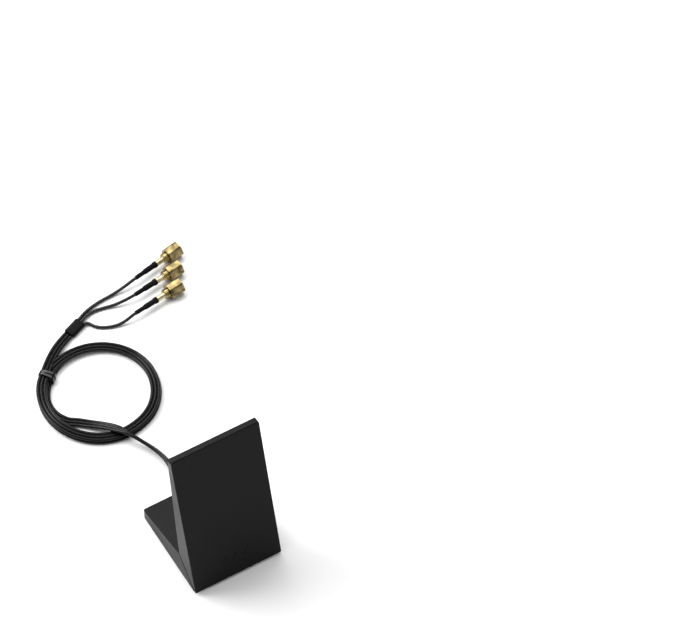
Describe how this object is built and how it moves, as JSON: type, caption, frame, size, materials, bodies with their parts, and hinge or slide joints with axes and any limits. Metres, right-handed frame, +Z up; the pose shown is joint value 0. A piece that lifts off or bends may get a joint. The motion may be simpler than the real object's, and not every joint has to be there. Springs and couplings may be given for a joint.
{
  "type": "desktop wi-fi antenna",
  "caption": "Slab-shaped tilting antenna panel on a wedge base, with a flat coiled coax lead that splits into tails with screw-on coax plugs.",
  "frame": {"origin": "middle of the antenna's footprint (panel and base, without the cord) on the table", "axes": "+Z up; the panel's face looks towards -Y and leans back; the lead leaves the back of the base towards +Y; +X is the viewer's right when facing the panel"},
  "size_m": [0.1137, 0.1959, 0.0932],
  "materials": {
    "front_shell": "fine-grained black moulding",
    "rear_shell": "fine-grained black moulding",
    "base_shell": "fine-grained black moulding",
    "base_plate": "plain black moulding",
    "feet_rubber": "matt black",
    "grommet_rubber": "satin black",
    "hinge_steel": "bright zinc-plated",
    "screw_steel": "zinc-plated",
    "weight_steel": "plain mild steel",
    "board_laminate": "green solder mask",
    "copper": "bright copper",
    "clip_metal": "tin-plated",
    "coax_jacket": "satin black jacket",
    "tie_film": "glossy black",
    "shrink_sleeve": "matt black heat-shrink",
    "gold": "bright gold plating",
    "pale_gold": "pale gold plating",
    "ptfe": "white"
  },
  "bodies": {
    "base": {"base_top_cover": "base_shell", "base_bottom_cover": "base_plate", "rubber_feet": "feet_rubber", "cable_grommet": "grommet_rubber", "base_hinge_leaf_left": "hinge_steel", "base_hinge_leaf_right": "hinge_steel", "hinge_pin_left": "hinge_steel", "hinge_pin_right": "hinge_steel", "hinge_washers_left": "hinge_steel", "hinge_washers_right": "hinge_steel", "base_leaf_screws": "screw_steel", "base_screws": "screw_steel", "base_weight": "weight_steel", "base_leads": "coax_jacket", "ribbon_lead": "coax_jacket", "cable_coil": "coax_jacket", "ribbon_end": "coax_jacket", "tail_1": "coax_jacket", "tail_2": "coax_jacket", "tail_3": "coax_jacket", "cable_tie": "tie_film", "breakout_sleeve": "shrink_sleeve", "boot_inner_1": "shrink_sleeve", "boot_inner_2": "shrink_sleeve", "boot_inner_3": "shrink_sleeve", "boot_outer_1": "shrink_sleeve", "boot_outer_2": "shrink_sleeve", "boot_outer_3": "shrink_sleeve", "plug_body_1": "gold", "plug_body_2": "gold", "plug_body_3": "gold", "plug_contact_1": "gold", "plug_contact_2": "gold", "plug_contact_3": "gold", "ferrule_1": "pale_gold", "ferrule_2": "pale_gold", "ferrule_3": "pale_gold", "plug_insulator_1": "ptfe", "plug_insulator_2": "ptfe", "plug_insulator_3": "ptfe"},
    "panel": {"panel_front_cover": "front_shell", "panel_rear_cover": "rear_shell", "antenna_board": "board_laminate", "antenna_elements": "copper", "board_screws": "screw_steel", "feed_clips": "clip_metal", "panel_leads": "coax_jacket", "panel_hinge_leaf_left": "hinge_steel", "panel_hinge_leaf_right": "hinge_steel", "panel_leaf_screws": "screw_steel"},
    "nut_1": {"plug_nut_1": "gold"},
    "nut_2": {"plug_nut_2": "gold"},
    "nut_3": {"plug_nut_3": "gold"}
  },
  "joints": [
    {"name": "panel_tilt", "type": "hinge", "parent": "base", "child": "panel", "pos_m": [0, -0.0109, 0.017], "axis": [-1, 0, 0], "range_deg": [-1, 90]},
    {"name": "nut_1_spin", "type": "hinge", "parent": "base", "child": "nut_1", "pos_m": [0.06837, 0.16354, 0.004], "axis": [0.9816, 0.1908, 0], "continuous": true},
    {"name": "nut_2_spin", "type": "hinge", "parent": "base", "child": "nut_2", "pos_m": [0.06304, 0.15294, 0.004], "axis": [0.9903, 0.1392, 0], "continuous": true},
    {"name": "nut_3_spin", "type": "hinge", "parent": "base", "child": "nut_3", "pos_m": [0.05764, 0.14234, 0.004], "axis": [0.9903, 0.1392, 0], "continuous": true}
  ]
}
